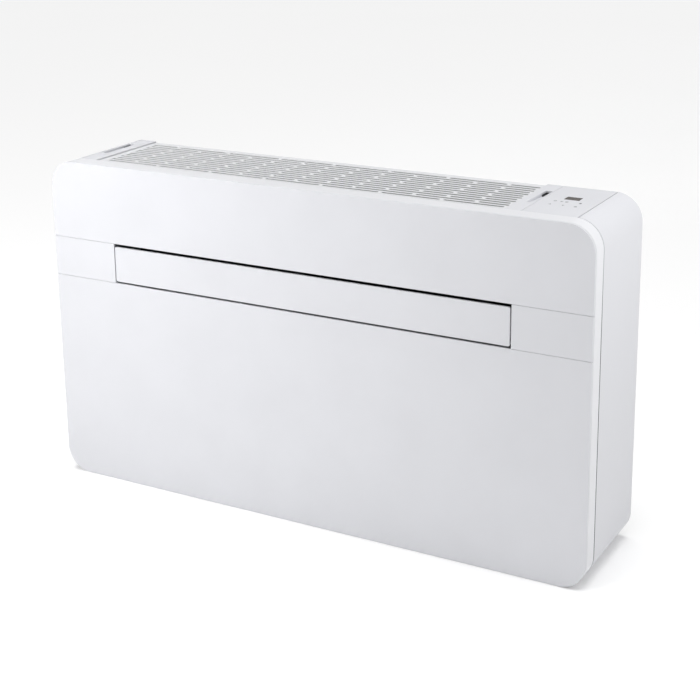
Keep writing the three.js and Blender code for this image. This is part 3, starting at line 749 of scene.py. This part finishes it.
vane_bottom, vane_top = 0.375, 0.442
pivot_bottom, crank_top = 0.368, 0.381
pivot_from_back, crank_reach = 0.010, 0.018
pin_radius, pin_edge = 0.0015, 0.0004
for number in range(1, 10):
    node = f"vane_{number}"
    low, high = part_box(node)
    x = (low.x + high.x) / 2
    pivot_y = high.y - pivot_from_back
    parts = [vane_blade(x, pivot_y, vane_bottom, vane_top)]
    crank_y = pivot_y - crank_reach
    pins = ((pivot_y, pivot_bottom, high.z), (crank_y, low.z + 0.0032, crank_top))
    for pin_y, bottom, top in pins:
        bottom = max(bottom, low.z)
        parts.append(turned("pin", (x, pin_y, 0), "Z", [
            (pin_radius - pin_edge, bottom), (pin_radius, bottom + pin_edge),
            (pin_radius, top - pin_edge), (pin_radius - pin_edge, top),
        ], steps=20))
    fit(merged(node + "_blade", *parts), node + "_body", "dark_plastic", dark_plastic, node)
fit(refined("vane_link", 0.0003), "link", "dark_plastic", dark_plastic, "vane_link")
reface(dark_plastic, "vane_motor", "flap_motor")


# ---------------------------------------------------------------------------------------------
# Outlet flap. A satin white plate that closes the outlet flush with the front. Behind it are a
# stiffening rib and two ears with the hinge pins, all moulded in one piece.

flap_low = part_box("outlet_flap")[0]
flap_half, flap_bottom, flap_top, flap_thickness = 0.369, 0.3765, 0.4385, 0.004
flap_corner = 0.003
flap_box = (
    Vector((-flap_half, flap_low.y, flap_bottom)),
    Vector((flap_half, flap_low.y + flap_thickness, flap_top)),
)
hinge_y, hinge_z = flap_low.y + 0.0065, 0.381
behind_plate = flap_low.y + 0.0035
ear_half = 0.0036
hinge_radius, hinge_edge = 0.002, 0.0005
flap_parts = [plate("flap_plate", flap_box, [flap_corner] * 4, panel_rim)]


def block(low, high, edge):
    """A moulded block with rounded edges."""
    mesh = bmesh.new()
    bmesh.ops.create_cube(mesh, size=1.0)
    size = Vector(high) - Vector(low)
    middle = (Vector(high) + Vector(low)) / 2
    bmesh.ops.transform(mesh, matrix=Matrix.Diagonal(size.to_4d()), verts=mesh.verts)
    bmesh.ops.translate(mesh, vec=middle, verts=mesh.verts)
    bmesh.ops.bevel(
        mesh, geom=mesh.edges[:], offset=edge, segments=3, profile=0.5, affect="EDGES"
    )
    return object_from("block", mesh)


for side, pin_end in ((-1, flap_low.x), (1, 0.3735)):
    ear = sorted((side * 0.362, side * 0.366))
    flap_parts.append(block(
        (ear[0], behind_plate, hinge_z - ear_half),
        (ear[1], hinge_y + ear_half, hinge_z + ear_half), 0.0008,
    ))
    near, far = sorted((side * 0.365, pin_end))
    flap_parts.append(turned("pin", (0, hinge_y, hinge_z), "X", [
        (hinge_radius - hinge_edge, near), (hinge_radius, near + hinge_edge),
        (hinge_radius, far - hinge_edge), (hinge_radius - hinge_edge, far),
    ], steps=24))
flap_parts.append(block(
    (-0.355, behind_plate, 0.430), (0.355, flap_low.y + 0.008, 0.4324), 0.0006
))
flap = merged("outlet_flap_plate", *flap_parts)
fit(flap, "flap", "white_panel", white_panel, "outlet_flap")


# ---------------------------------------------------------------------------------------------
# Filter seat and extract filter. A grey tray carries the grille. Under the grille lies a frame
# of dark plastic with a pleated sheet of grey fleece.

fit(refined("grille_seat", 0.0003), "casing", "grey_plastic", grey_plastic, "grille_seat")
filter_frame = refined("extract_filter_frame", 0.0004)
fit(filter_frame, "grille", "dark_plastic", dark_plastic, "extract_filter_frame")
reface(fleece("extract_fleece", (0.15, 0.155, 0.16), 0.0008), "extract_filter_media")


# ---------------------------------------------------------------------------------------------
# Top grille. One white moulding with thirteen rows of long round-ended slots, the bridges set
# half a cell over in every other row. Thin ribs between the slots carry rounded edges.

def long_slot(x0, x1, y, half, corner):
    """A slot with rounded ends, in millimetres."""
    outline = []
    for cx, cy, start in (
        (x1 - corner, y - half + corner, -90), (x1 - corner, y + half - corner, 0),
        (x0 + corner, y + half - corner, 90), (x0 + corner, y - half + corner, 180),
    ):
        outline += ring_of(corner, (cx, cy), steps=4, start=start, sweep_angle=90.0)
    return outline


def slotted_plastic(name, base, shaded, top):
    """The white shell plastic, with painted shade: a dull grey inside the slots."""
    finish = Finish(name)
    # Painted shade: the slot walls turn grey below the top face.
    depth = finish.spread(finish.along("Z"), top - 0.0014, top - 0.0003)
    patchy = finish.noise(240.0) * 0.2 + 0.9
    tone = finish.blend(depth * patchy, shaded + (1.0,), base + (1.0,))
    return grained(finish, tone, shell_grain, shell_grain_depth, shell_roughness - 0.05)


grille_low, grille_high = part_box("top_grille")
rib_white = (0.74, 0.745, 0.765)
slot_shade_grey = (0.36, 0.365, 0.37)
grille_white = slotted_plastic("white_grille_grained", rib_white, slot_shade_grey, grille_high.z)
slot_rows = 13
slot_pitch = 12.5
slot_half = 3.5
first_slot = -64.4
field_left, field_right = -417.0, 337.0
cell = (field_right - field_left) / 7
bridge_half = 3.0
slot_corner = 2.6
x0, x1 = grille_low.x * 1000, grille_high.x * 1000
y0, y1 = grille_low.y * 1000, grille_high.y * 1000
outlines = [[(x0, y0), (x1, y0), (x1, y1), (x0, y1)]]
for row in range(slot_rows):
    y = first_slot + row * slot_pitch
    shift = 0.0 if row % 2 else cell / 2
    for index in range(-1, 7):
        left = field_left + index * cell + shift
        start = max(field_left, left + bridge_half)
        end = min(field_right, left + cell - bridge_half)
        if end - start > 2 * bridge_half:
            outlines.append(long_slot(start, end, y, slot_half, slot_corner))
underside = grille_high.z - 0.004
grille_parts = [flat_piece("grille_face", outlines, underside, grille_high.z, 0.0004)]
skirt, skirt_top, skirt_edge = 0.002, underside + 0.0004, 0.0003
for left in (grille_low.x, grille_high.x - skirt):
    grille_parts.append(block(
        (left, grille_low.y, grille_low.z), (left + skirt, grille_high.y, skirt_top), skirt_edge
    ))
grille_parts.append(block(
    (grille_low.x + 0.0012, grille_high.y - skirt, grille_low.z),
    (grille_high.x - 0.0012, grille_high.y, skirt_top), skirt_edge,
))
top_grille = merged("top_grille_moulding", *grille_parts)
fit(top_grille, "grille", "white_shell", grille_white, "top_grille")


# ---------------------------------------------------------------------------------------------
# Grille ends. A white strip at each end of the grille, with a finger recess whose floor slopes
# down into a deep pocket, so that the grille can be lifted with two fingertips.

def pocketed_plastic(name, base, shaded, top, pocket_front):
    """The white shell plastic, with painted shade deep in the pocket."""
    finish = Finish(name)
    # Painted shade: the inner end of the pocket is darkened below the top face.
    depth = finish.spread(top - finish.along("Z"), 0.0004, 0.0014)
    inward = finish.spread(finish.along("Y"), pocket_front - 0.002, pocket_front)
    patchy = finish.noise(240.0) * 0.2 + 0.85
    tone = finish.blend(depth * inward * patchy, base + (1.0,), shaded + (1.0,))
    return grained(finish, tone, shell_grain, shell_grain_depth, shell_roughness - 0.05)


pocket_front = 0.0465
pocket_shade_grey = (0.03, 0.03, 0.032)
pocketed = pocketed_plastic(
    "white_grille_end", shell_white, pocket_shade_grey, grille_high.z, pocket_front
)
for node in ("grille_end_left", "grille_end_right"):
    fit(refined(node, 0.0006, segments=3), "grille", "white_shell", pocketed, node)


# ---------------------------------------------------------------------------------------------
# Control panel. A white cover at the right end of the top, with a window for the display. Small
# grey generic marks are printed flush on it over the touch keys.

panel_low, panel_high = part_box("control_panel")
cover_top = panel_high.z - 0.00005
cover_skin = 0.0025
x0, x1 = panel_low.x * 1000, panel_high.x * 1000
y0, y1 = panel_low.y * 1000, panel_high.y * 1000
rim = [(x0, y0), (x1, y0), (x1, y1), (x0, y1)]
window = [(400, 23), (425, 23), (425, 42), (400, 42)]
wall = cover_skin * 1000
inner = [
    (x0 + wall, y0 + wall), (x1 - wall, y0 + wall), (x1 - wall, y1 - wall), (x0 + wall, y1 - wall),
]
cover = merged(
    "control_panel_cover",
    flat_piece("cover_face", [rim, window], cover_top - cover_skin, cover_top, 0.0005),
    flat_piece("cover_skirt", [rim, inner], panel_low.z, cover_top - cover_skin + 0.0006, 0.0003),
)
fit(cover, "casing", "white_shell", white_shell, "control_panel")


def printed_ink(name, base):
    """Pad-printed ink: slightly uneven grey with the roughness of the plastic beneath."""
    finish = Finish(name)
    patchy = finish.noise(2500.0, 3.0)
    paler = tuple(min(1.0, channel * 1.35) for channel in base) + (1.0,)
    return finish.surface(
        Base_Color=finish.blend(patchy, base + (1.0,), paler),
        Roughness=finish.noise(400.0) * 0.1 + 0.5,
    )


def bar(x, y, half_x, half_y):
    """A printed bar or dot, in millimetres."""
    return [[
        (x - half_x, y - half_y), (x + half_x, y - half_y),
        (x + half_x, y + half_y), (x - half_x, y + half_y),
    ]]


ink = printed_ink("grey_printed_ink", (0.075, 0.08, 0.09))
line = 0.48
ring_radius = 2.6
power_mark = [
    ring_of(ring_radius, (392.5, 8), 24, 120, 300)
    + ring_of(ring_radius - 2 * line, (392.5, 8), 24, 120, 300)[::-1]
]
mode_mark = [ring_of(ring_radius, (411, 8), 28), ring_of(ring_radius - 2 * line, (411, 8), 28)]
drop_mark = [ring_of(2.0, (433, 7.2), 20, 150, 240) + [(433, 12.2)]]
rise_mark = [[(390, -15.6), (395, -15.6), (392.5, -12.2)]]
fall_mark = [[(410.5, -12.2), (413, -15.6), (415.5, -12.2)]]
clock_mark = [ring_of(2.5, (433, -14), 28), ring_of(2.5 - 2 * line, (433, -14), 28)]
marks = [
    power_mark, bar(392.5, 9.8, line, 1.4), mode_mark, bar(403, 8, 2.3, line),
    bar(403, 9.8, 1.6, line), bar(403, 6.2, 1.6, line), drop_mark, rise_mark, fall_mark,
    clock_mark, bar(433, -13.2, line, 0.8), bar(433.8, -14, 0.8, line), bar(411, 8, 0.8, 0.8),
]
ink_low, ink_high, ink_rim = cover_top - 0.00002, cover_top + 0.00003, 0.000004
mark_shapes = [flat_piece("mark", mark, ink_low, ink_high, ink_rim) for mark in marks]
fit(merged("control_marks", *mark_shapes), "casing", "grey_plastic", ink)


# ---------------------------------------------------------------------------------------------
# Display. A smoked window set flush in the control panel, dark brown and glossy, with the
# segments of the unlit display just visible in it. The boards under it are green laminate.

def smoked_window(name, base):
    """Glossy smoked plastic, slightly lighter where the unlit display lies behind it."""
    finish = Finish(name)
    depth = finish.spread(finish.noise(70.0, 1.0), 0.35, 0.75)
    lighter = tuple(channel * 1.6 for channel in base) + (1.0,)
    return finish.surface(
        Base_Color=finish.blend(depth, base + (1.0,), lighter),
        Roughness=finish.noise(500.0) * 0.04 + 0.10,
        Coat_Weight=0.4,
        IOR=1.49,
    )


def circuit_board(name, base):
    """Green laminate with faint copper tracks under the lacquer."""
    finish = Finish(name)
    tracks = finish.cells(260.0, finish.stretched((1.0, 2.4, 1.0)))
    lighter = tuple(channel * 1.7 for channel in base) + (1.0,)
    return finish.surface(
        Base_Color=finish.blend(tracks > 0.45, base + (1.0,), lighter),
        Roughness=finish.noise(120.0) * 0.1 + 0.35,
    )


smoked = smoked_window("smoked_display", (0.085, 0.075, 0.068))
fit(refined("display_window", 0.0003), "casing", "display", smoked, "display_window")
green_board = circuit_board("green_laminate", (0.02, 0.12, 0.06))
reface(green_board, "control_board", "power_board")


# ---------------------------------------------------------------------------------------------
# Electrical box. A grey moulded box under the control panel that holds the power board and the
# pale terminal block for the supply cable.

fit(refined("electrical_box", 0.0005), "casing", "grey_plastic", grey_plastic, "electrical_box")
terminal_plastic = moulded_plastic("terminal_plastic", (0.62, 0.62, 0.58), 0.0004, 0.00002, 0.42)
reface(terminal_plastic, "terminal_block")


# ---------------------------------------------------------------------------------------------
# Camera, lights and floor. The camera stands to the right of the unit and looks down on it a
# little. The light is broad and soft: strongest from the upper left, weaker from the right, and
# even from overhead. The floor is plain and nearly white.

camera_data = bpy.data.cameras.new("camera")
camera_data.sensor_width = 36.0
camera_data.lens = 76.36
camera_data.shift_y = -0.179
camera = bpy.data.objects.new("camera", camera_data)
bpy.context.scene.collection.objects.link(camera)
camera_yaw, camera_pitch, camera_roll = -0.5094, -0.2607, -0.0117
forward = Vector((
    math.sin(camera_yaw) * math.cos(camera_pitch),
    math.cos(camera_yaw) * math.cos(camera_pitch),
    math.sin(camera_pitch),
))
level = Vector((math.cos(camera_yaw), -math.sin(camera_yaw), 0.0))
upright = level.cross(forward)
right = math.cos(camera_roll) * level + math.sin(camera_roll) * upright
above = -math.sin(camera_roll) * level + math.cos(camera_roll) * upright
camera_turn = Matrix((right, above, -forward)).transposed().to_4x4()
camera.matrix_world = Matrix.Translation((1.190, cad_low.y - 1.957, 1.132)) @ camera_turn
bpy.context.scene.camera = camera


def soft_light(name, place, target, size, power, spread=180):
    """A rectangular lamp aimed at a target, out of the camera's sight."""
    data = bpy.data.lights.new(name, "AREA")
    data.shape = "RECTANGLE"
    data.size, data.size_y = size
    data.energy = power
    data.spread = math.radians(spread)
    light = bpy.data.objects.new(name, data)
    light.location = place
    light.visible_camera = False
    light.rotation_mode = "QUATERNION"
    light.rotation_quaternion = (Vector(target) - Vector(place)).to_track_quat("-Z", "Y")
    bpy.context.scene.collection.objects.link(light)


soft_light("left_window", (-1.0, -1.6, 2.0), (-0.2, -0.1, 0.4), (1.4, 1.4), 20.5)
soft_light("front_fill", (-1.0, -2.6, 1.2), (-0.5, -0.1, 0.65), (0.4, 0.4), 1.45, 40)
soft_light("right_lamp", (1.1, 0.0, 0.85), (0.5, 0.0, 0.5), (0.4, 0.4), 2.5)
overhead_data = bpy.data.lights.new("overhead", "SUN")
overhead_data.energy = 2.0
overhead_data.angle = math.radians(40)
overhead = bpy.data.objects.new("overhead", overhead_data)
bpy.context.scene.collection.objects.link(overhead)

world = bpy.data.worlds.new("bright_room")
world.use_nodes = True
backdrop = world.node_tree.nodes["Background"].inputs
backdrop["Color"].default_value = (1.0, 1.0, 1.0, 1.0)
backdrop["Strength"].default_value = 0.25
bpy.context.scene.world = world
bpy.context.scene.view_settings.view_transform = "Standard"

pale_floor = Finish("pale_floor")
floor_tone = pale_floor.blend(
    pale_floor.noise(0.6), (0.97, 0.97, 0.97, 1.0), (0.95, 0.95, 0.95, 1.0)
)
reach = 60.0
floor = loft("floor", [
    [(-reach, -reach, z), (reach, -reach, z), (reach, reach, z), (-reach, reach, z)]
    for z in (-0.0005, -0.02)
], caps=True)
floor.data.materials.append(pale_floor.surface(
    Base_Color=floor_tone, Roughness=0.9, Emission_Color=(1.0, 1.0, 1.0, 1.0),
    Emission_Strength=0.07,
))
